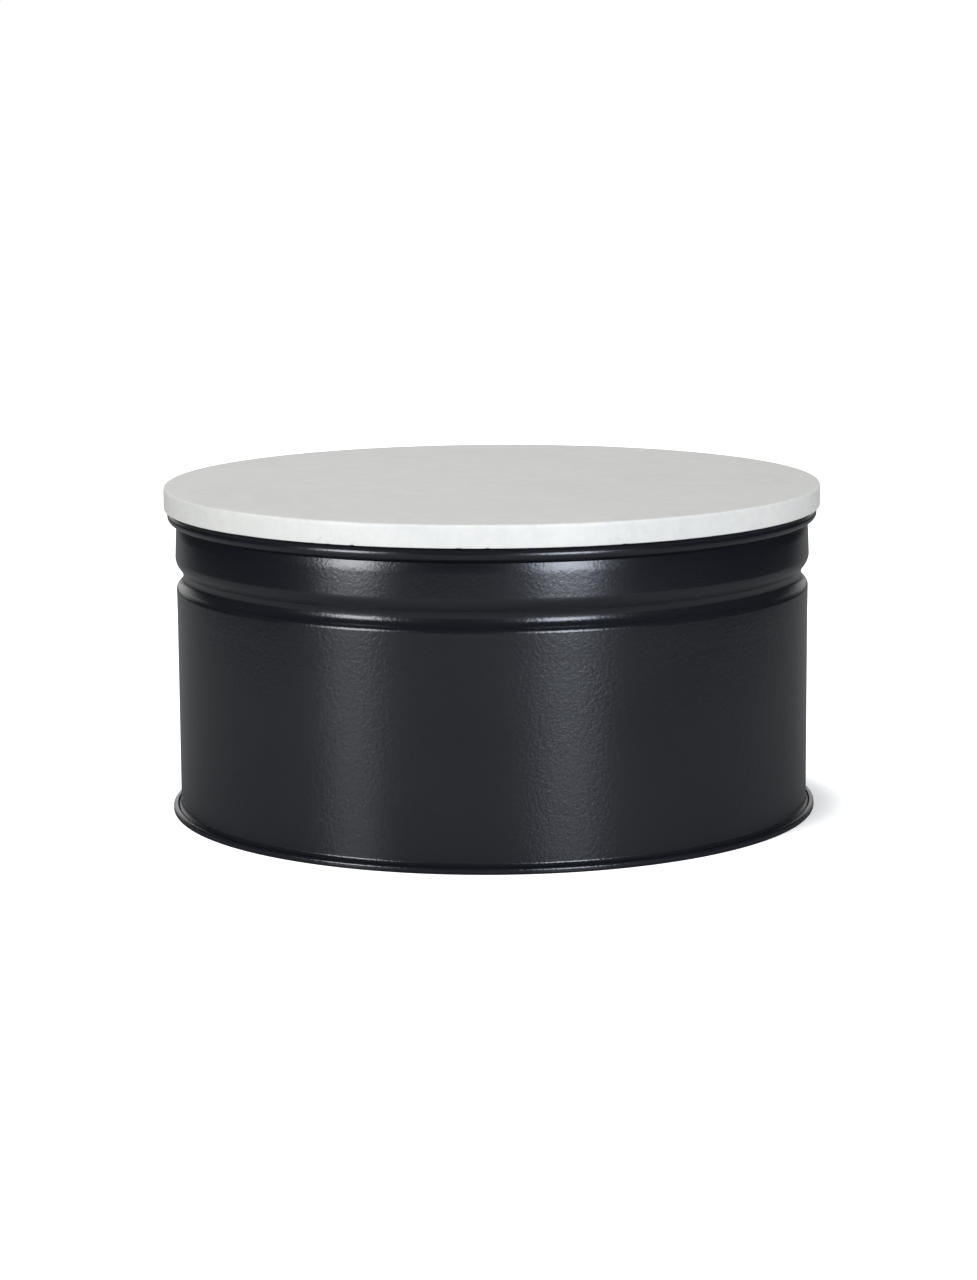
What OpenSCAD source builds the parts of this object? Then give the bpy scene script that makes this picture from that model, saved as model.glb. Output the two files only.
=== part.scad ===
// Low round storage tin: a rolled and seamed steel body, closed by a stone slab
// that stands on a locating disc and a push-in gasket. Millimetres, +Z up,
// origin at the centre of the ring that the tin stands on.

/* [Overall] */
// Height of the closed tin, floor to the top of the stone
height = 130; // [110:1:170]
// Diameter of the straight wall, outside
wall_d = 250.7; // [240:0.1:256]

/* [Stone slab] */
// How far the slab stands out past the wall, all round
stone_overhang = 4.65; // [4.2:0.05:8]
// Thickness of the slab
stone_t = 8.7; // [6:0.1:14]
// Radius of the eased upper edge of the slab
stone_ease = 0.8; // [0.3:0.1:2]
// Radius of its lower edge, which is hardly eased
stone_ease_low = 0.25; // [0.2:0.05:1]

/* [Sheet steel] */
// Thickness of the coated wall sheet
wall_t = 0.6; // [0.4:0.05:0.8]
// Thickness of the coated base sheet
base_t = 0.7; // [0.5:0.05:0.8]

/* [Rolled rim] */
// Outside diameter of the tube that the top edge is rolled into
curl_d = 4.84; // [4.4:0.02:5.2]
// How far the curl stands out past the straight wall
curl_reach = 3.3; // [2.8:0.1:3.6]

/* [Collar and groove] */
// Height from the top of the curl down to the middle of the groove
groove_drop = 27.05; // [24:0.05:32]
// Depth at which the groove's two flanks would meet, before the bend is rounded
groove_depth = 4.2; // [3:0.05:4.6]
// Radius of the bend at the bottom of the groove
groove_bend = 4.5; // [3:0.1:4.6]
// How far the collar swells past the wall at its foot
collar_swell = 0.5; // [0:0.05:0.8]
// How far the collar leans back in, from its foot to its knee
collar_lean = 0.5; // [0.2:0.05:0.8]

/* [Base seam] */
// How far the hem stands out past the wall
hem_reach = 3.15; // [3:0.05:3.6]
// Height of the folded hem
hem_h = 2.7; // [2.6:0.05:3]
// Radius of the bend from the wall into its flared foot
foot_bend = 1.2; // [0.8:0.1:2]
// Depth of the base panel's recess, seen from below
base_recess = 4; // [3:0.5:8]

/* [Locating disc and gasket] */
// Diameter of the disc under the stone
plug_d = 239; // [220:1:239]
// Thickness of the disc under the stone
plug_t = 9; // [8:0.5:15]
// Thickness of the bond pads and of the gasket's flange
bond_t = 0.35; // [0.35:0.05:1]
// Thickness of the gasket's sleeve
sleeve_t = 1.4; // [1:0.1:1.6]
// Gap between the gasket's pressed-in fins and the mouth
fin_gap = 0.35; // [0.3:0.05:0.8]

/* [Hidden] */
$fn = 180;
ARC_STEPS = 10;             // straight pieces in one rounded corner
EPS_GAP = 0.05;             // air between faces that rest on each other across the joint

wall_r = wall_d / 2;
stone_r = wall_r + stone_overhang;
stone_z = height - stone_t;             // underside of the slab
curl_r = curl_d / 2;
rim_z = stone_z - bond_t - EPS_GAP;     // top of the curl
curl_centre = [wall_r + curl_reach - curl_r, rim_z - curl_r];
mouth_r = curl_centre.x - curl_r;       // narrowest place of the mouth
groove_z = rim_z - groove_drop;
groove_r = wall_r - groove_depth;
flank_up = 6.64;                        // height of the groove's long upper flank
flank_down = 3.5;                       // height of its short lower flank
crest_r = wall_r + 0.15;                // the wall's slight swell under the groove
crest_bend = 2.4;
shoulder_r = wall_r + collar_swell;     // the collar's foot, above the groove
shoulder_bend = 5.8;
knee_z = rim_z - 7.95;                  // above the knee the collar leans in more
knee_r = shoulder_r - collar_lean;
collar_top_z = rim_z - 5.7;             // the crease under the curl
hem_r = wall_r + hem_reach;
hem_top_bend = 1.1;                             // outside bends of the hem, above and below
hem_foot_bend = 0.8;
seal_t = (hem_h - 2 * base_t - wall_t) / 2;     // compound above and below the flange
flange_z = base_t + seal_t;                     // underside of the wall's flange
flange_top_z = flange_z + wall_t;
lip_r = hem_r - 1.75;                           // inner edge of the hem's upper lip
flange_r = hem_r - base_t - 0.35;               // edge of the wall's flange, inside the hem
foot_flare = 1.55;                              // the wall's foot flares out this far,
foot_h = 1.85;                                  // over this height, to meet the flange
plug_r = plug_d / 2;
plug_z = stone_z - bond_t - plug_t;             // underside of the locating disc
rib_z = stone_z - 5.2;                          // the gasket's rib, and the groove for it
rib_h = 2.4;
rib_in = 1.6;

STEEL = [0.15, 0.16, 0.18];
STONE = [0.86, 0.86, 0.84];
WOOD = [0.80, 0.66, 0.46];
SILICONE = [0.20, 0.21, 0.22];
COMPOUND = [0.55, 0.56, 0.54];
ADHESIVE = [0.88, 0.87, 0.80];

// ---- Outlines ----

// Direction of length 1 from a to b
function toward(a, b) = (b - a) / norm(b - a);

// Point at an angle on a circle
function on_circle(centre, r, angle) = centre + r * [cos(angle), sin(angle)];

// Points of a circle's arc from one angle to another
function arc(centre, r, from, to, steps = ARC_STEPS) =
    [for (i = [0:steps]) on_circle(centre, r, from + (to - from) * i / steps)];

// The corner at b on the way from a to c, rounded to radius r
function corner(a, b, c, r) =
    let (back = toward(b, a), on = toward(b, c), half = acos(back * on) / 2,
         centre = b + (back + on) / norm(back + on) * r / sin(half),
         first = b + back * r / tan(half) - centre,
         start = atan2(first.y, first.x),
         turn = sign(cross(back, on)) * (2 * half - 180))
    arc(centre, r, start, start + turn);

// An open line through [x, y, corner radius] points
function rounded(points) =
    let (xy = [for (p = points) [p.x, p.y]], last = len(points) - 1)
    [xy[0],
     for (i = [1:1:last - 1])
        each (points[i].z > 0 ? corner(xy[i - 1], xy[i], xy[i + 1], points[i].z) : [xy[i]]),
     xy[last]];

// Where a line of sheet goes when each point moves by t to the left of its path
function shifted(path, t) =
    let (last = len(path) - 1)
    [for (i = [0:last])
        let (before = i == 0 ? toward(path[0], path[1]) : toward(path[i - 1], path[i]),
             after = i == last ? before : toward(path[i], path[i + 1]),
             mean = (before + after) / norm(before + after))
        path[i] + t / (mean * after) * [-mean.y, mean.x]];

function reversed(path) = [for (i = [len(path) - 1:-1:0]) path[i]];

// Closed outline of a sheet of thickness t that lies to the left of its path
function sheet(path, t) = concat(path, reversed(shifted(path, t)));

module turned(outline) {
    rotate_extrude() polygon(outline);
}

// ---- The steel body ----

// Outer face of the wall, from the flange's edge in the base seam up to the curl's end
function wall_path() =
    concat(
        rounded([
            [flange_r, flange_top_z, 0],
            [wall_r + foot_flare, flange_top_z, 0.8],
            [wall_r, flange_top_z + foot_h, foot_bend],
            [wall_r, groove_z - flank_down - 12, 120],
            [crest_r, groove_z - flank_down, crest_bend],
            [groove_r, groove_z, groove_bend],
            [shoulder_r, groove_z + flank_up, shoulder_bend],
            [knee_r, knee_z, 28],
            [knee_r - 0.42, collar_top_z, 0.5],
            [mouth_r + wall_t, collar_top_z + 0.85, 1],
            [mouth_r + wall_t, curl_centre.y - 0.2, 0]
        ]),
        arc(curl_centre, curl_r - wall_t, 180, -115, 3 * ARC_STEPS)
    );

// Outside of the base sheet, from the upper lip of its hem to the middle of the floor
function pan_path() =
    let (step_r = wall_r - 1.6)
    concat(
        [[lip_r, hem_h]],
        arc([hem_r - hem_top_bend, hem_h - hem_top_bend], hem_top_bend, 90, 0),
        arc([hem_r - hem_foot_bend, hem_foot_bend], hem_foot_bend, 0, -90),
        rounded([
            [hem_r - hem_foot_bend - 0.1, 0, 0],
            [step_r, 0, 1.2],
            [step_r - 2, base_recess, 1.2],
            [wall_r - 16, base_recess, 0.8],
            [wall_r - 18, base_recess - 1, 0.8],
            [wall_r - 22, base_recess - 1, 0.8],
            [wall_r - 24, base_recess, 0.8],
            [0, base_recess, 0]
        ])
    );

module tin_wall() {
    color(STEEL) turned(sheet(wall_path(), wall_t));
}

module base_pan() {
    color(STEEL) turned(sheet(pan_path(), -base_t));
}

// Lining compound that fills the hem round the edge of the wall's flange
module seam_sealant() {
    outer_r = hem_r - base_t - 0.05;
    color(COMPOUND) difference() {
        turned([
            [lip_r + 0.2, base_t], [outer_r, base_t],
            [outer_r, hem_h - base_t], [lip_r + 0.2, hem_h - base_t]
        ]);
        tin_wall();
        base_pan();
    }
}

// ---- The lid ----

module stone_lid() {
    color(STONE) turned(concat(
        [[0, stone_z]],
        arc([stone_r - stone_ease_low, stone_z + stone_ease_low], stone_ease_low, -90, 0, 4),
        arc([stone_r - stone_ease, height - stone_ease], stone_ease, 0, 90, 6),
        [[0, height]]
    ));
}

module bond_pads(pad_r = 16, ring_r = 84, count = 6) {
    color(ADHESIVE) translate([0, 0, stone_z - bond_t]) {
        cylinder(r = pad_r, h = bond_t);
        for (i = [0:count - 1])
            rotate(i * 360 / count) translate([ring_r, 0, 0]) cylinder(r = pad_r, h = bond_t);
    }
}

module lid_plug(ease = 1.5) {
    top = stone_z - bond_t;
    color(WOOD) turned(concat(
        [[0, plug_z]],
        arc([plug_r - ease, plug_z + ease], ease, -90, 0, 6),
        [
            [plug_r, rib_z - rib_h / 2], [plug_r - rib_in, rib_z - rib_h / 2],
            [plug_r - rib_in, rib_z + rib_h / 2], [plug_r, rib_z + rib_h / 2],
            [plug_r, top], [0, top]
        ]
    ));
}

// One wiper fin, from the sleeve up and out to its tip
function fin(root_z, root_r, tip_r) = [
    [root_r, root_z - 0.7], [tip_r - 0.2, root_z + 0.5], [tip_r, root_z + 0.75],
    [tip_r - 0.2, root_z + 1], [root_r, root_z + 0.6]
];

module lid_gasket() {
    sleeve_r = plug_r + sleeve_t;
    tip_r = mouth_r - fin_gap;
    seat_r = curl_centre.x + 0.6;
    under = stone_z - bond_t;
    foot_z = plug_z + 2;
    color(SILICONE) turned(concat(
        [
            [plug_r, foot_z], [sleeve_r - 0.5, foot_z], [sleeve_r, foot_z + 0.5]
        ],
        fin(foot_z + 1.8, sleeve_r, tip_r),
        fin(foot_z + 4.6, sleeve_r, tip_r),
        [
            [sleeve_r, under - 0.6], [sleeve_r + 0.6, under],
            [seat_r - 0.3, under], [seat_r, under + 0.3],
            [seat_r, stone_z], [plug_r, stone_z],
            [plug_r, rib_z + rib_h / 2], [plug_r - rib_in, rib_z + rib_h / 2],
            [plug_r - rib_in, rib_z - rib_h / 2], [plug_r, rib_z - rib_h / 2]
        ]
    ));
}

stone_lid();
bond_pads();
lid_plug();
lid_gasket();
tin_wall();
base_pan();
seam_sealant();
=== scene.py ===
# %% [markdown]
# # A low steel storage tin with a stone lid
#
# The real tin is a strip of sheet steel, rolled into a ring, lap-welded up the back and
# powder-coated near-black. Its top edge is rolled into a curl, a groove is pressed in under
# the collar, and the bottom is a pressed pan whose edge is folded round the wall's flange.
# A slab of white marble closes it. A plywood disc is glued under the stone, and a silicone
# gasket round the disc grips the mouth.
#
# Everything here is turned about one axis, so nearly every piece starts as an outline of
# radius and height. The engineering model gives the sizes. This script builds finer meshes
# round it and gives them their finishes.

import math
import random

import bmesh
import bpy
from mathutils import Matrix, Vector, noise


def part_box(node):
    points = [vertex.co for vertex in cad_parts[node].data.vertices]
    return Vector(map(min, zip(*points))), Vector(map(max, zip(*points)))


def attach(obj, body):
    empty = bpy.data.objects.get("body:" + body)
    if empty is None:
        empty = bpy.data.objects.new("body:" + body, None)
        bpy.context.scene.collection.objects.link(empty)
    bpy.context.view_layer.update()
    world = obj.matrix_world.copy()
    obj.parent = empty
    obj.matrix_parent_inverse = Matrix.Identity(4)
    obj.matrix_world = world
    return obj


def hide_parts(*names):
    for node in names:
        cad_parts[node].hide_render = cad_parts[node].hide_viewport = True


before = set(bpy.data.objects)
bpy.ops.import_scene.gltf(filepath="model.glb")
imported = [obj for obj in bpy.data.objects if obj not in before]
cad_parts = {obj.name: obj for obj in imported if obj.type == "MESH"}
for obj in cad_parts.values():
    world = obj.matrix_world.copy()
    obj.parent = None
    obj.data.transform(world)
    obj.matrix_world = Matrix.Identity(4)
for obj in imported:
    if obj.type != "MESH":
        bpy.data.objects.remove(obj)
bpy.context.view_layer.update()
MM = 0.001

# %% [markdown]
# ## Sizes
#
# A piece made here has to sit where the engineering model has it. Its box gives the outer
# radii and heights, and the few sizes that a box can't show, such as the thickness of the
# sheet, are stated once. Working in named sizes keeps every outline readable: a reader can
# see that the groove starts so far under the rim, without decoding a list of numbers.

# %% Read the main sizes from the model
stone_low, stone_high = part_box("stone_lid")
wall_low, wall_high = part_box("tin_wall")
pan_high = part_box("base_pan")[1]
plug_low, plug_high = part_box("lid_plug")
gasket_low, gasket_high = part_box("lid_gasket")

stone_r, stone_z, top_z = stone_high.y, stone_low.z, stone_high.z
curl_out_r, rim_z = wall_high.y, wall_high.z
hem_r = pan_high.y
plug_r, plug_z, plug_top_z = plug_high.y, plug_low.z, plug_high.z
gasket_r, gasket_foot_z = gasket_high.y, gasket_low.z
print(f"stone radius {stone_r / MM:.2f} mm, hem radius {hem_r / MM:.2f} mm, rim {rim_z / MM:.2f} mm")

# %% State the sizes that a box can't show
sheet_t = 0.6 * MM
base_t = 0.7 * MM
curl_r = 2.42 * MM
wall_r = curl_out_r - 3.3 * MM
mouth_r = curl_out_r - 2 * curl_r
hem_h = 2.7 * MM
groove_z = rim_z - 27.05 * MM
collar_top_z = rim_z - 5.7 * MM
SEAM_ANGLE = math.radians(90)       # the weld faces away from the camera

# %% [markdown]
# ## Camera
#
# A long lens about 1.4 m away, looking down on the tin by roughly ten degrees, shows the
# lid as a thin ellipse and keeps the sides of the wall nearly parallel. The camera goes in
# first, because every later choice of light and finish is judged through it. Its turns are
# applied in the order pan, tilt, roll, which three multiplied rotations state plainly.

# %% Place the camera
CAMERA_PLACE = Vector((-0.0315, -1.3706, 0.2986))
PAN, TILT, ROLL = math.radians(-1.247), math.radians(-9.634), math.radians(-0.392)

lens = bpy.data.cameras.new("camera")
lens.lens = 97.7
lens.sensor_width = 36
camera = bpy.data.objects.new("camera", lens)
camera.matrix_world = (
    Matrix.Translation(CAMERA_PLACE)
    @ Matrix.Rotation(PAN, 4, "Z")
    @ Matrix.Rotation(math.pi / 2 + TILT, 4, "X")
    @ Matrix.Rotation(ROLL, 4, "Z")
)
bpy.context.scene.collection.objects.link(camera)
bpy.context.scene.camera = camera
print(f"camera {CAMERA_PLACE.length:.3f} m from the foot of the tin")

# %% [markdown]
# ## A small language for finishes
#
# A finish is a graph of nodes, and a graph written node by node hides its sums. So a
# `Signal` wraps one output socket, and Python's own operators add the Math nodes:
# `1 - mask` or `grain * 0.4 + spots` reads as what it does. Every other node comes from
# `Graph.add`, which sets the node's settings first and its sockets second. The room's light
# is a graph too, so it is written in the same words.

# %% Signal: a socket that can be added and multiplied
class Signal:
    """The output of a node, as a value that Python can do sums with."""

    def __init__(self, graph, socket):
        self.graph = graph
        self.socket = socket

    def sum(self, operation, *values):
        return self.graph.add("Math", {"operation": operation}, dict(enumerate(values)))

    def __add__(self, other):
        return self.sum("ADD", self, other)

    def __sub__(self, other):
        return self.sum("SUBTRACT", self, other)

    def __rsub__(self, other):
        return self.sum("SUBTRACT", other, self)

    def __mul__(self, other):
        return self.sum("MULTIPLY", self, other)

    def __truediv__(self, other):
        return self.sum("DIVIDE", self, other)

    __radd__ = __add__
    __rmul__ = __mul__

    def size(self):
        return self.sum("ABSOLUTE", self)

    def ramp(self, low, high):
        """0 below low, 1 above high, and a smooth step between."""
        settings = {"interpolation_type": "SMOOTHSTEP"}
        return self.graph.add("MapRange", settings, {"Value": self, 1: low, 2: high})


# %% Graph: the nodes of a material or of the world
MIX_FACTOR, MIX_A, MIX_B, MIX_RESULT = 0, 6, 7, 2       # the colour sockets of a Mix node


class Graph:
    """A tree of nodes that is built by calls."""

    def __init__(self, owner):
        owner.use_nodes = True
        self.tree = owner.node_tree

    def add(self, kind, settings=None, inputs=None, output=0):
        """Adds a node: its settings first, then the values or links of its sockets."""
        node = self.tree.nodes.new("ShaderNode" + kind)
        for key, value in (settings or {}).items():
            setattr(node, key, value)
        for key, value in (inputs or {}).items():
            self.feed(node.inputs[key], value)
        return Signal(self, node.outputs[output])

    def feed(self, socket, value):
        if isinstance(value, Signal):
            self.tree.links.new(value.socket, socket)
        else:
            socket.default_value = value

    def blend(self, mask, a, b):
        """Colour a where the mask is 0, colour b where it is 1."""
        inputs = {MIX_FACTOR: mask, MIX_A: a, MIX_B: b}
        return self.add("Mix", {"data_type": "RGBA"}, inputs, output=MIX_RESULT)


# %% Finish: one procedural material
class Finish(Graph):
    """A material with one Principled shader and the nodes that feed it."""

    def __init__(self, name):
        self.material = bpy.data.materials.new(name)
        super().__init__(self.material)
        self.shader = self.tree.nodes["Principled BSDF"]
        self.place = self.add("TexCoord", output="Object")

    def noise(self, size, detail=2.0, rough=0.5, place=None, warp=0.0):
        """Noise whose lumps are about size across, in metres."""
        inputs = {"Vector": place or self.place, "Scale": 1 / size, "Detail": detail,
                  "Roughness": rough, "Distortion": warp}
        return self.add("TexNoise", {}, inputs)

    def stretched(self, x=1.0, y=1.0, z=1.0):
        """The place, scaled on each axis, for grain that runs one way."""
        return self.add("VectorMath", {"operation": "MULTIPLY"}, {0: self.place, 1: (x, y, z)})

    def axis(self, name):
        """One coordinate of the place, in metres."""
        return self.add("SeparateXYZ", {}, {0: self.place}, output=name)

    def bump(self, height, depth):
        """Turns height into relief, where a height of 1 stands depth metres proud."""
        return self.add("Bump", {}, {"Height": height, "Distance": depth})

    def finish(self, **sockets):
        """Sets the shader's sockets, named with underscores for spaces."""
        for name, value in sockets.items():
            self.feed(self.shader.inputs[name.replace("_", " ")], value)
        return self.material


def grey(level, warmth=0.0):
    """A colour near grey: warmth above 0 leans to cream, below 0 to blue."""
    return (level * (1 + warmth), level, level * (1 - warmth), 1)


# %% [markdown]
# ## Powder coat
#
# Powder coat is a plastic powder, melted onto the steel. It flows almost flat and keeps a
# shallow orange peel, lumps 2 to 3 mm apart and a few hundredths of a millimetre high, which
# shows where a light is mirrored and nowhere else. That makes bump the right tool: the
# relief is far too shallow for geometry. The coat lies thicker on the straight wall than on
# the rolled collar, and so does its peel. A finer relief breaks up the mirror image, a few
# nibs of dust stand proud, and the colour hardly varies, since the pigment is mixed into the
# powder.

# %% Make the powder coat
def powder_coat():
    coat = Finish("satin_powder_coat")
    peel = coat.noise(1.3 * MM, rough=0.45)
    fine = coat.noise(0.5 * MM, detail=1.0)
    cloud = coat.noise(45 * MM)
    specks = coat.add("TexVoronoi", {}, {"Vector": coat.place, "Scale": 110})
    nibs = 1 - specks.ramp(0.02, 0.07)
    thick = 1 - coat.axis("Z").ramp(groove_z - 12 * MM, groove_z + 8 * MM)
    relief = coat.bump((peel + fine * 0.08) * (1 + thick * 0.62) + nibs * 0.5, 0.054 * MM)
    dark, pale = (0.0058, 0.0072, 0.0108, 1), (0.0071, 0.0086, 0.0122, 1)
    return coat.finish(
        Base_Color=coat.blend(cloud.ramp(0.35, 0.65), dark, pale),
        Roughness=0.205 + cloud * 0.04,
        IOR=1.7,
        Normal=relief,
    )


coat = powder_coat()
print("powder coat nodes:", len(coat.node_tree.nodes))

# %% [markdown]
# ## Marble
#
# Honed white marble is nearly even: a fine sugar of crystals, a slow drift between cream
# and cool grey, some mottling, and a few soft threads. Contrast is the risk. A vein that
# looks right on its own turns the slab into a cartoon, so each layer only moves the colour
# by a few percent. A thread is made by folding noise about its middle, which leaves a thin
# line where the noise crosses it.

# %% Make the marble
def honed_marble():
    stone = Finish("honed_marble")
    drift = stone.noise(42 * MM, detail=3.0, warp=0.8).ramp(0.36, 0.64)
    mottle = stone.noise(8 * MM, detail=5.0, rough=0.62, warp=0.5).ramp(0.34, 0.66)
    fold = stone.noise(75 * MM, detail=5.0, rough=0.62, warp=1.2)
    thread = 1 - ((fold - 0.5).size() * 14).ramp(0.0, 1.0)
    patchy = stone.noise(50 * MM, detail=1.0).ramp(0.45, 0.7)
    crystal = stone.add("TexVoronoi", {}, {"Vector": stone.place, "Scale": 550}, output="Color")
    sparkle = stone.add("SeparateColor", {}, {0: crystal})
    body = stone.blend(drift, (0.708, 0.711, 0.672, 1), (0.724, 0.722, 0.676, 1))
    body = stone.blend(mottle * 0.5, body, (0.640, 0.645, 0.620, 1))
    body = stone.blend(thread * patchy * 0.3, body, (0.570, 0.575, 0.570, 1))
    body = stone.blend(sparkle * 0.35, body, (0.770, 0.775, 0.755, 1))
    pits = stone.noise(1.1 * MM, detail=3.0)
    return stone.finish(
        Base_Color=body,
        Roughness=0.36 + sparkle * 0.08,
        Normal=stone.bump(pits, 0.012 * MM),
    )


marble = honed_marble()
print("marble nodes:", len(marble.node_tree.nodes))

# %% [markdown]
# ## Plywood, silicone and the hidden compounds
#
# These show when the lid is lifted. The disc is birch plywood: its edge shows the plies,
# turned a quarter turn each time, so light and dark stripes alternate with height, and its
# face shows one veneer with grain along X. The silicone is moulded, so it is matt and even,
# with a little dust. The glue pads and the seam's compound are soft, slightly lumpy pastes.

# %% Make the plywood
PLIES = 7


def plywood():
    wood = Finish("birch_plywood")
    height = wood.axis("Z")
    ply = (height - plug_z) / ((plug_top_z - plug_z) / PLIES)
    cross = wood.add("Math", {"operation": "PINGPONG"}, {0: ply, 1: 1.0}).ramp(0.42, 0.58)
    glue_line = wood.add("Math", {"operation": "PINGPONG"}, {0: ply + 0.5, 1: 0.5})
    glue = 1 - glue_line.ramp(0.03, 0.07)
    grain = wood.noise(1.6 * MM, detail=4.0, place=wood.stretched(x=0.06), warp=0.2)
    rings = wood.noise(14 * MM, detail=2.0, place=wood.stretched(x=0.12), warp=0.8)
    face = wood.blend(grain.ramp(0.3, 0.7), (0.66, 0.49, 0.30, 1), (0.78, 0.62, 0.42, 1))
    face = wood.blend(rings.ramp(0.45, 0.6) * 0.4, face, (0.60, 0.42, 0.24, 1))
    ends = wood.blend(grain.ramp(0.2, 0.8), (0.36, 0.23, 0.12, 1), (0.52, 0.36, 0.20, 1))
    body = wood.blend(cross * 0.75, face, ends)
    return wood.finish(
        Base_Color=wood.blend(glue * 0.5, body, (0.20, 0.12, 0.06, 1)),
        Roughness=0.5 + grain * 0.15,
        Normal=wood.bump(grain + cross * 0.4, 0.05 * MM),
    )


# %% Make the silicone and the two compounds
def silicone():
    rubber = Finish("charcoal_silicone")
    dust = rubber.noise(0.9 * MM, detail=3.0).ramp(0.58, 0.75)
    flow = rubber.noise(12 * MM)
    return rubber.finish(
        Base_Color=rubber.blend(dust * 0.25, grey(0.030, -0.03), grey(0.14)),
        Roughness=0.5 + flow * 0.12,
        Normal=rubber.bump(rubber.noise(0.35 * MM), 0.01 * MM),
    )


def paste(name, colour, lump):
    soft = Finish(name)
    lumps = soft.noise(lump, detail=3.0)
    darker = tuple(0.8 * c for c in colour[:3]) + (1,)
    return soft.finish(
        Base_Color=soft.blend(lumps.ramp(0.3, 0.7), darker, colour),
        Roughness=0.55 + lumps * 0.2,
        Normal=soft.bump(lumps, 0.1 * MM),
    )


ply_disc, charcoal = plywood(), silicone()
glue = paste("pad_glue", (0.78, 0.75, 0.62, 1), 3 * MM)
compound = paste("seam_compound", grey(0.45), 1 * MM)
print("finishes:", [m.name for m in (ply_disc, charcoal, glue, compound)])

# %% [markdown]
# ## Outlines
#
# An outline is a list of points: radius across, height up. Corners are rounded by working
# out the arc that touches both sides, as a die maker would state a bend by its radius, so
# the outline holds only the corners that matter. `sheet` then gives the line of steel its
# thickness by shifting every point to the left of the path.

# %% Arcs and rounded corners
def arc(centre, radius, start, end, steps=10):
    """Points on a circle from one angle to another, in degrees."""
    turns = [math.radians(start + (end - start) * i / steps) for i in range(steps + 1)]
    return [Vector((centre[0] + radius * math.cos(t), centre[1] + radius * math.sin(t)))
            for t in turns]


def corner(a, b, c, radius, steps=14):
    """The corner at b on the way from a to c, rounded to a radius."""
    back, on = (a - b).normalized(), (c - b).normalized()
    half = back.angle(on) / 2
    centre = b + (back + on).normalized() * radius / math.sin(half)
    first = b + back * radius / math.tan(half) - centre
    start = math.degrees(math.atan2(first.y, first.x))
    turn = math.copysign(180 - 2 * math.degrees(half), -back.cross(on))
    return arc(centre, radius, start, start + turn, steps)


def rounded(corners):
    """An open line through (radius, height, corner radius) entries."""
    spots = [Vector(c[:2]) for c in corners]
    line = [spots[0]]
    for i in range(1, len(corners) - 1):
        bend = corners[i][2]
        line += corner(*spots[i - 1:i + 2], bend) if bend else [spots[i]]
    return line + [spots[-1]]


# %% Sheet: a line that is given a thickness
def shifted(line, distance):
    """The line, with each point moved to the left of its path."""
    moved = []
    for i, spot in enumerate(line):
        before = (spot - line[i - 1]).normalized() if i else (line[1] - spot).normalized()
        after = (line[i + 1] - spot).normalized() if i + 1 < len(line) else before
        mean = (before + after).normalized()
        moved.append(spot + Vector((-mean.y, mean.x)) * distance / mean.dot(after))
    return moved


def sheet(line, thickness):
    """The closed outline of a sheet that lies to the left of its line."""
    return line + shifted(line, thickness)[::-1]


# %% [markdown]
# ## Turning
#
# A lathe is a loop: place a ring of points for each point of the outline and join
# neighbouring rings with quads. A modifier could do it, but a function that makes the rings
# can also bend them: `shape` may move each point by a function of its radius, height and
# angle, which gives the weld, the hand-eased stone and the chips. A point on the axis is
# one vertex, so the middle closes with triangles and no face is folded.

# %% Turn an outline into a mesh
def even_angles(count):
    return [2 * math.pi * i / count for i in range(count)]


def turned(name, outline, angles, shape=None, closed=True, crease=40):
    """A solid of revolution. shape(radius, height, angle) returns the moved radius, height."""
    verts, rings = [], []
    for spot in outline:
        if spot[0] < 1e-7:
            rings.append([len(verts)])
            verts.append((0, 0, spot[1]))
            continue
        rings.append(range(len(verts), len(verts) + len(angles)))
        for angle in angles:
            radius, height = shape(spot[0], spot[1], angle) if shape else spot
            verts.append((radius * math.cos(angle), radius * math.sin(angle), height))
    faces = []
    for low, high in zip(rings, rings[1:] + rings[:1] if closed else rings[1:]):
        faces += band(low, high)
    mesh = bpy.data.meshes.new(name)
    mesh.from_pydata(verts, [], faces)
    mesh.validate()
    mesh.update()
    return placed(name, mesh, crease)


def band(low, high):
    """The faces between two rings, either of which may be a single point."""
    count = max(len(low), len(high))
    if count == 1:
        return []
    faces = []
    for i in range(count):
        j = (i + 1) % count
        loop = [low[i % len(low)], low[j % len(low)], high[j % len(high)], high[i % len(high)]]
        faces.append(tuple(dict.fromkeys(loop)))
    return faces


def placed(name, mesh, crease):
    """Makes the mesh face outwards and shades it smooth, but for edges sharper than crease."""
    obj = bpy.data.objects.new(name, mesh)
    bpy.context.scene.collection.objects.link(obj)
    shell = bmesh.new()
    shell.from_mesh(mesh)
    if shell.calc_volume(signed=True) < 0:
        mesh.flip_normals()
    shell.free()
    mesh.shade_smooth()
    mesh.set_sharp_from_angle(angle=math.radians(crease))
    print(f"{name}: {len(mesh.polygons)} faces")
    return obj


def add_piece(obj, body, node, material):
    """Gives a piece its finish and its body, and hides the model's node that it stands for."""
    obj.data.materials.append(material)
    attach(obj, body)
    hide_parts(node)
    return obj


# %% [markdown]
# ## Tin wall
#
# The wall is one strip of steel, so it is one outline from the flange in the base seam, up
# the straight side, through the groove and the collar, and round the curl. In satin paint a
# bend's radius matters more than its depth, because it sets how broad a line of light the
# bend shows: the groove's bottom is rolled to 4.5 mm and shows a broad line, and the crest
# below it to 2.4 mm and shows a thin one. The collar leans in by half a millimetre and then
# by more above its knee, which a ruler would miss, but a mirrored light doesn't.

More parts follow.
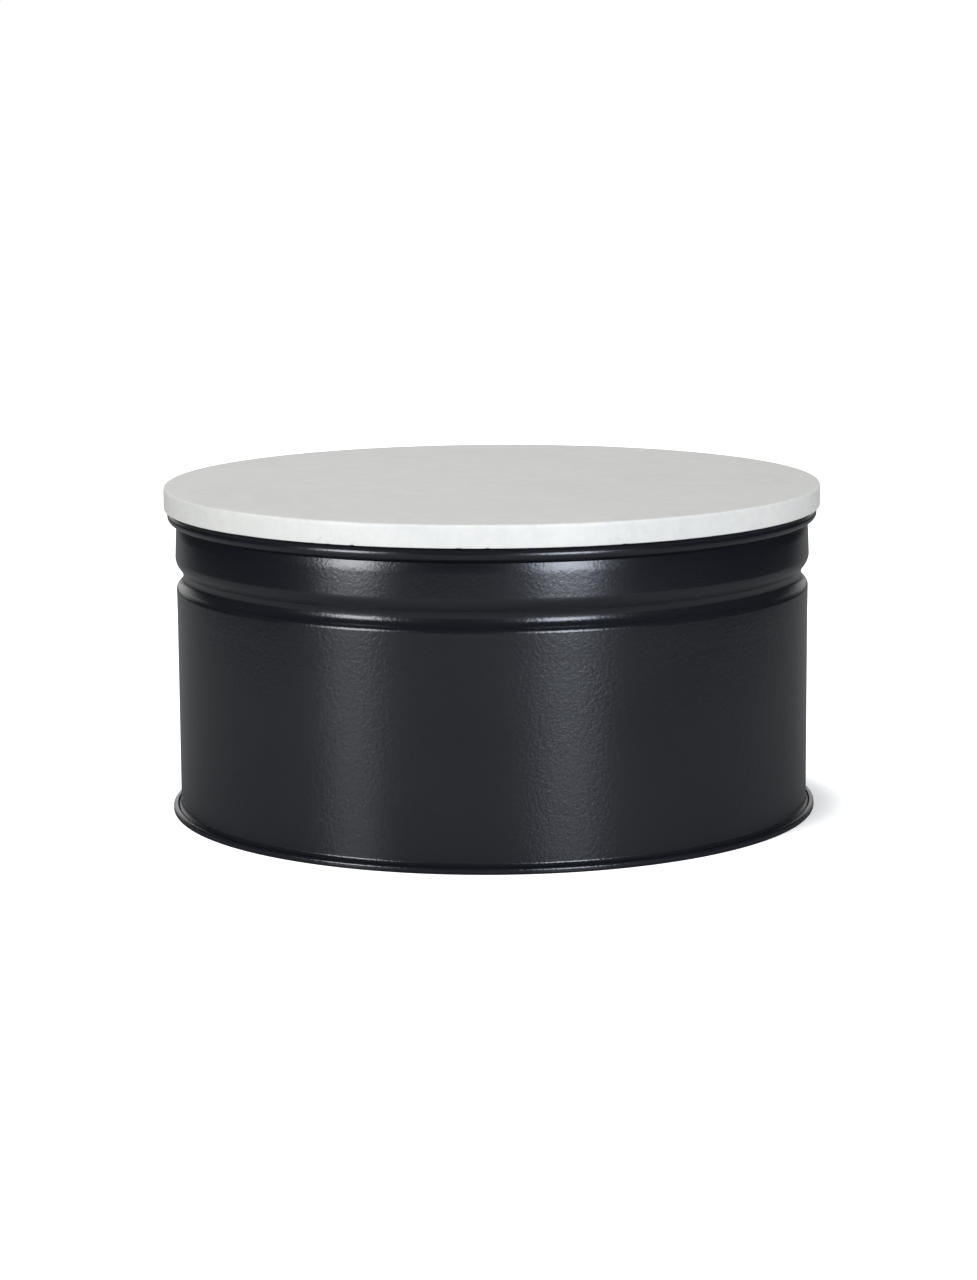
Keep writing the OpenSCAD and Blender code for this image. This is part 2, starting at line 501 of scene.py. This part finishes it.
# %% Draw the wall's section
crest_z = groove_z - 3.5 * MM
shoulder_z = groove_z + 6.64 * MM
shoulder_r = wall_r + 0.5 * MM
knee_r, knee_z = shoulder_r - 0.5 * MM, rim_z - 7.95 * MM
curl_centre = Vector((curl_out_r - curl_r, rim_z - curl_r))
flange_r, flange_top_z = hem_r - base_t - 0.35 * MM, wall_low.z + sheet_t


def wall_line():
    """The outer face of the wall, from the flange's edge up to the end of the curl."""
    foot = [
        (flange_r, flange_top_z, 0),
        (wall_r + 1.55 * MM, flange_top_z, 0.8 * MM),
        (wall_r, flange_top_z + 1.85 * MM, 1.2 * MM),
    ]
    side = [(wall_r, flange_top_z + 3 * MM + (crest_z - 20 * MM) * i / 8, 0) for i in range(8)]
    top = [
        (wall_r, crest_z - 12 * MM, 120 * MM),
        (wall_r + 0.15 * MM, crest_z, 2.4 * MM),
        (wall_r - 4.2 * MM, groove_z, 4.5 * MM),
        (shoulder_r, shoulder_z, 5.8 * MM),
        (knee_r, knee_z, 28 * MM),
        (knee_r - 0.42 * MM, collar_top_z, 0.5 * MM),
        (mouth_r + sheet_t, collar_top_z + 0.85 * MM, 1.0 * MM),
        (mouth_r + sheet_t, curl_centre.y - 0.2 * MM, 0),
    ]
    curl = arc(curl_centre, curl_r - sheet_t, 180, -115, 48)
    return rounded(foot + side + top) + curl


# %% [markdown]
# ### The weld
#
# Rolling a strip leaves one joint, lapped and welded up the back, then coated over. The
# outer end of the strip stands proud by what the weld leaves of its thickness: a soft step
# on one side, a long ramp on the other where the steel comes back to round. The lathe can do
# it, because `shape` sees the angle. It fades out before the curl and the flange, which are
# pressed flat at the lap.

# %% Shape the weld and turn the wall
LAP_STEP, LAP_RAMP = math.radians(0.35), math.radians(7)
LAP_HEIGHT = 0.45 * MM


def smooth(low, high, value):
    """0 below low, 1 above high, and a smooth step between."""
    share = min(max((value - low) / (high - low), 0), 1)
    return share * share * (3 - 2 * share)


def with_weld(radius, height, angle):
    """Lifts the lap at the back, fading it out towards the flange and the curl."""
    turn = angle - SEAM_ANGLE
    lap = smooth(-LAP_STEP, 0, turn) * (1 - smooth(0, LAP_RAMP, turn))
    fade_in = smooth(4 * MM, 9 * MM, height)
    fade_out = smooth(collar_top_z - 6 * MM, collar_top_z - 1 * MM, height)
    return radius + LAP_HEIGHT * lap * fade_in * (1 - fade_out), height


def angles_with_seam(count):
    """Even angles, with a few more across the weld."""
    lap = [SEAM_ANGLE + LAP_STEP * share for share in (-1, -0.75, -0.5, -0.25)]
    return sorted(even_angles(count) + lap)


wall = turned("wall_shell", sheet(wall_line(), sheet_t), angles_with_seam(360), with_weld)
add_piece(wall, "tin", "tin_wall", coat)

# %% [markdown]
# ## Base pan
#
# The pan is a second pressing. Its edge comes up round the wall's flange and is folded in
# as a hem, which leaves the fine crease that runs round the foot. Inside, the panel is
# raised four millimetres off the floor, so the tin stands on a ring, and one shallow bead
# keeps the panel from drumming.

# %% Draw and turn the pan
hem_lip_r = hem_r - 1.75 * MM
HEM_TOP_BEND, HEM_FOOT_BEND = 1.1 * MM, 0.8 * MM
RECESS, BEAD_DEPTH = 4 * MM, 1 * MM


def pan_line():
    """The outside of the pan, from the hem's upper lip to the middle of the floor."""
    step_r = wall_r - 1.6 * MM
    lip = [Vector((hem_lip_r, hem_h - 0.15 * MM)), Vector((hem_lip_r + 0.15 * MM, hem_h))]
    hem = arc((hem_r - HEM_TOP_BEND, hem_h - HEM_TOP_BEND), HEM_TOP_BEND, 90, 0, 12)
    hem += arc((hem_r - HEM_FOOT_BEND, HEM_FOOT_BEND), HEM_FOOT_BEND, 0, -90)
    bead = [(wall_r - inset * MM, RECESS - drop * BEAD_DEPTH, 0.8 * MM)
            for inset, drop in ((16, 0), (18, 1), (22, 1), (24, 0))]
    floor = [(wall_r * share, RECESS, 0) for share in (0.75, 0.6, 0.45, 0.3, 0.15, 0)]
    panel = rounded([
        (hem_r - HEM_FOOT_BEND - 0.1 * MM, 0, 0),
        (step_r, 0, 1.2 * MM),
        (step_r - 2 * MM, RECESS, 1.2 * MM),
        *bead, *floor,
    ])
    return lip + hem + panel


pan = turned("base_pressing", sheet(pan_line(), -base_t), even_angles(360))
add_piece(pan, "tin", "base_pan", coat)

# %% [markdown]
# ## Stone slab
#
# The slab is cut, not moulded. Its edges are eased by hand, so the easing wanders a little
# in width, and a few tiny chips are left. Both need real geometry, because they sit on the
# outline where bump can't reach. The wandering is noise read on a circle, so that it closes
# on itself, and each chip is a small dent placed by a seeded generator.

# %% Ease the slab's edges and chip them
EASE, EASE_LOW = 0.8 * MM, 0.25 * MM
dice = random.Random(41)
CHIPS = [(dice.uniform(0, 2 * math.pi), dice.choice((stone_z, top_z)), dice.uniform(0.25, 0.7) * MM)
         for _ in range(26)]


def around(angle, lumps, seed):
    """Noise that closes on itself round the circle, from about -1 to 1."""
    return noise.noise(Vector((lumps * math.cos(angle), lumps * math.sin(angle), seed)))


def hand_eased(radius, height, angle):
    """Draws the arrises back unevenly, and dents them where a chip has gone."""
    inset, near_top = stone_r - radius, top_z - height
    near_edge = min(near_top, height - stone_z)
    arris = max(0, 1 - inset / (1.6 * MM)) * max(0, 1 - near_edge / (1.6 * MM))
    side, share = (0, 1) if near_top < height - stone_z else (5, 0.4)
    wander = 0.10 * around(angle, 9, side) + 0.07 * around(angle, 60, side + 1)
    loss = (0.10 + wander) * share * MM * arris
    for chip_angle, chip_z, chip_size in CHIPS:
        away = math.remainder(angle - chip_angle, 2 * math.pi) * stone_r
        reach = math.hypot(away, height - chip_z, inset * 0.8) / (1.6 * chip_size)
        if reach < 1:
            loss += 0.45 * chip_size * (1 - reach * reach) ** 2
    lean = 0.05 * MM * around(angle, 3, 9) * max(0, 1 - inset / (2 * MM))
    drop = loss * 0.7 * (1 if side == 0 else -1)
    return radius - loss - abs(lean), height - drop


def slab_outline():
    """Half the slab's section, with rings close together only near its edge."""
    face = [0, 0.25, 0.5, 0.7, 0.85, 0.94, 0.98]
    under = [Vector((stone_r * share, stone_z)) for share in face]
    over = [Vector((stone_r * share, top_z)) for share in reversed(face)]
    low = arc((stone_r - EASE_LOW, stone_z + EASE_LOW), EASE_LOW, -90, 0, 5)
    side = [Vector((stone_r, stone_z + (top_z - stone_z) * share))
            for share in (0.2, 0.35, 0.5, 0.65, 0.8)]
    high = arc((stone_r - EASE, top_z - EASE), EASE, 0, 90, 7)
    return under + low + side + high + over


slab = turned("stone_slab", slab_outline(), even_angles(900), hand_eased, closed=False)
add_piece(slab, "lid", "stone_lid", marble)

# %% [markdown]
# ## What is under the stone
#
# The plywood disc has a sanded edge and a saw-cut groove for the gasket's rib. The gasket
# is one moulding: a flange for the stone to rest on, a sleeve round the disc, and two thin
# fins that bend against the mouth. The glue pads squeeze out a little as the disc is
# pressed on, so they are low domed cakes, not clean cylinders.

# %% Turn the plywood disc
rib_z = stone_z - 5.2 * MM
RIB_H, RIB_IN = 2.4 * MM, 1.6 * MM


def disc_outline():
    ease = 1.5 * MM
    face = (0, 0.3, 0.6, 0.85)
    groove = [(plug_r, -1), (plug_r - RIB_IN, -1), (plug_r - RIB_IN, 1), (plug_r, 1)]
    return (
        [Vector((plug_r * share, plug_z)) for share in face]
        + arc((plug_r - ease, plug_z + ease), ease, -90, 0, 8)
        + [Vector((r, rib_z + end * RIB_H / 2)) for r, end in groove]
        + [Vector((plug_r * share, plug_top_z)) for share in (1,) + face[::-1]]
    )


disc = turned("plywood_disc", disc_outline(), even_angles(360), closed=False)
add_piece(disc, "lid", "lid_plug", ply_disc)

# %% Turn the gasket
FIN_GAP = 0.35 * MM
sleeve_r = plug_r + 1.4 * MM
fin_r = mouth_r - FIN_GAP


def fin(root_z):
    """A wiper fin, thick at its root and rounded at its tip."""
    tip = (fin_r - 0.22 * MM, root_z + 0.75 * MM)
    return ([Vector((sleeve_r, root_z - 0.7 * MM))]
            + arc(tip, 0.22 * MM, -80, 90, 8)
            + [Vector((sleeve_r, root_z + 0.6 * MM))])


def gasket_outline():
    flange_z = plug_top_z
    foot = [Vector((plug_r, gasket_foot_z)), Vector((sleeve_r - 0.5 * MM, gasket_foot_z)),
            Vector((sleeve_r, gasket_foot_z + 0.5 * MM))]
    flange = [Vector((sleeve_r, flange_z - 0.6 * MM)), Vector((sleeve_r + 0.6 * MM, flange_z))]
    flange += arc((gasket_r - 0.3 * MM, flange_z + 0.3 * MM), 0.3 * MM, -90, 0, 6)
    flange += [Vector((gasket_r, stone_z)), Vector((plug_r, stone_z))]
    rib = [Vector((plug_r - inset, rib_z + end * RIB_H / 2))
           for inset, end in ((0, 1), (RIB_IN, 1), (RIB_IN, -1), (0, -1))]
    return foot + fin(gasket_foot_z + 1.8 * MM) + fin(gasket_foot_z + 4.6 * MM) + flange + rib


gasket = turned("silicone_gasket", gasket_outline(), even_angles(360))
add_piece(gasket, "lid", "lid_gasket", charcoal)


# %% Press down the glue pads
def glue_pad(centre, seed):
    """One pad: a low round cake whose rim wanders, squeezed between stone and disc."""
    thick = stone_z - plug_top_z
    outline = [Vector((0, 0)), *[Vector((r * MM, 0)) for r in (6, 12, 15)],
               *arc((15.2 * MM, thick / 2), thick / 2, -90, 90, 6),
               *[Vector((r * MM, thick)) for r in (15, 12, 6)], Vector((0, thick))]

    def wandering(radius, height, angle):
        return radius * (1 + 0.05 * around(angle, 1.5, seed) - 0.03), height

    pad = turned(f"glue_pad_{seed}", outline, even_angles(48), wandering, closed=False)
    pad.data.transform(Matrix.Translation(centre))
    return pad


pad_ring_r = 84 * MM
spots = [Vector((0, 0, plug_top_z))]
spots += [Vector((pad_ring_r * math.cos(a), pad_ring_r * math.sin(a), plug_top_z))
          for a in even_angles(6)]
for seed, spot in enumerate(spots):
    add_piece(glue_pad(spot, seed), "lid", "bond_pads", glue)

# %% [markdown]
# The seam's compound is a thin ring shut inside the hem, so the model's own solid has all
# the shape it needs, and only gets a finish.

# %% Finish the seam's compound
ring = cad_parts["seam_sealant"]
ring.data.materials.clear()
ring.data.materials.append(compound)

# %% [markdown]
# ## Floor and light
#
# The tin is satin and dark, so it shows little but what it mirrors: two tall strip lights in
# front, a table, a white wall behind and a dim room between them. Painting those by hand on
# the metal would break as soon as the camera moved. So the room itself is built: a pale
# floor, two area lights standing on it, and a world that is white behind the tin and dim in
# front.
#
# A dark product is often shown on white while its metal mirrors something much darker, by
# flags held just outside the view. The Light Path node does the work of the flags: it tells
# the floor and the world whether the camera looks at them or a surface does.

# %% Lay the floor
FLOOR_HALF = 12                     # metres


# near is the camera's glow inside the painted shadow beside the tin's right foot, far is its glow
# elsewhere.
def pale_floor(mirrored=0.28, near=0.22, far=0.9):
    """White to the camera, a grey table with a soft gloss to everything it lights.

    To the camera the floor glows, with a painted shadow where the glow dims beside
    the tin's right foot. The grey table that surfaces see has painted contact shade round
    the foot, and is painted near-black to either side as shade past its edges.
    """
    table = Finish("pale_floor")
    away = table.add("VectorMath", {"operation": "LENGTH"}, {0: table.place}, output="Value")
    beside = table.axis("X").size()
    # Painted shade: past 0.55 to 0.8 m to either side, the grey table is painted near-black,
    # standing in for the dark room beyond its edges.
    edge = beside.ramp(0.55, 0.80)
    # Painted contact shade: the grey table is painted darker within about 150 mm of the axis, under
    # and round the tin's foot.
    painted_contact_shade = 1 - away.ramp(0.128, 0.150)
    distance = {"operation": "DISTANCE"}
    # Painted shadow: the camera's glow dims from far to near within about 80 to 105 mm of a point 50
    # mm right of the axis, beside the tin's right foot.
    from_painted_shadow = table.add("VectorMath", distance, {0: table.place, 1: (0.05, 0, 0)}, output="Value")
    top = table.blend(painted_contact_shade * 0.5, grey(mirrored), grey(0.1))
    table.finish(
        Base_Color=table.blend(edge, top, grey(0.02)),
        Roughness=0.4,
        Specular_IOR_Level=0.0,
        Coat_Weight=0.28,
        Coat_Roughness=0.32,
    )
    white = table.add("BsdfPrincipled", {}, {
        "Base Color": grey(0.86),
        "Roughness": 0.9,
        "Specular IOR Level": 0.1,
        "Emission Strength": 1.0,
        "Emission Color": table.blend(from_painted_shadow.ramp(0.078, 0.105), grey(near), grey(far)),
    })
    seen = table.add("LightPath", output="Is Camera Ray")
    grey_table = Signal(table, table.shader.outputs[0])
    either = table.add("MixShader", {}, {0: seen, 1: grey_table, 2: white})
    table.feed(table.tree.nodes["Material Output"].inputs["Surface"], either)
    return table.material


corners = ((-1, -1), (1, -1), (1, 1), (-1, 1))
mesh = bpy.data.meshes.new("floor")
mesh.from_pydata([(x * FLOOR_HALF, y * FLOOR_HALF, 0) for x, y in corners], [], [(0, 1, 2, 3)])
floor = bpy.data.objects.new("floor", mesh)
bpy.context.scene.collection.objects.link(floor)
floor.data.materials.append(pale_floor())


# %% Stand the strip lights
def strip_light(name, bearing, width, brightness, tint, distance=2.0, low=0.08, high=1.0):
    """An upright light, bearing degrees to the right of straight ahead of the tin."""
    angle = math.radians(bearing)
    place = Vector((math.sin(angle) * distance, -math.cos(angle) * distance, (low + high) / 2))
    lamp = bpy.data.lights.new(name, "AREA")
    lamp.shape = "RECTANGLE"
    lamp.size, lamp.size_y = width, high - low
    lamp.energy = brightness * math.pi * lamp.size * lamp.size_y
    lamp.color = tint
    holder = bpy.data.objects.new(name, lamp)
    holder.location = place
    holder.rotation_euler = (math.pi / 2, 0, angle)
    bpy.context.scene.collection.objects.link(holder)
    return holder


strip_light("left_strip", bearing=-51, width=0.60, brightness=8.9, tint=(0.93, 0.95, 1.0))
strip_light("right_strip", bearing=24.6, width=0.62, brightness=10.4, tint=(0.82, 0.875, 1.0))


# %% Light the room
def room(dim=0.03):
    """White to the camera. A mirror sees white behind the tin and a dim room in front.

    Matt surfaces are lit as in a light tent, whose walls are brighter than its ceiling.
    """
    world = bpy.data.worlds.new("room")
    bpy.context.scene.world = world
    air = Graph(world)
    direction = air.add("TexCoord", output="Generated")
    across, back, up = (air.add("SeparateXYZ", {}, {0: direction}, output=name) for name in "XYZ")
    backdrop = 1 - across.ramp(-0.1, 0.2) * 0.26
    mirrored = air.blend(back.ramp(0.73, 0.99), grey(dim), backdrop)
    front_right = across * 0.6 - back * 0.8
    soft_light = 1.48 - up * 1.3 + across.size() * 0.2 + front_right.ramp(0.0, 1.0) * 0.2
    soft = air.add("LightPath", output="Is Diffuse Ray")
    seen = air.add("LightPath", output="Is Camera Ray")
    lit = air.blend(soft, mirrored, soft_light)
    air.feed(air.tree.nodes["Background"].inputs["Color"], air.blend(seen, lit, grey(1.0)))


room()
bpy.context.scene.view_settings.view_transform = "Standard"
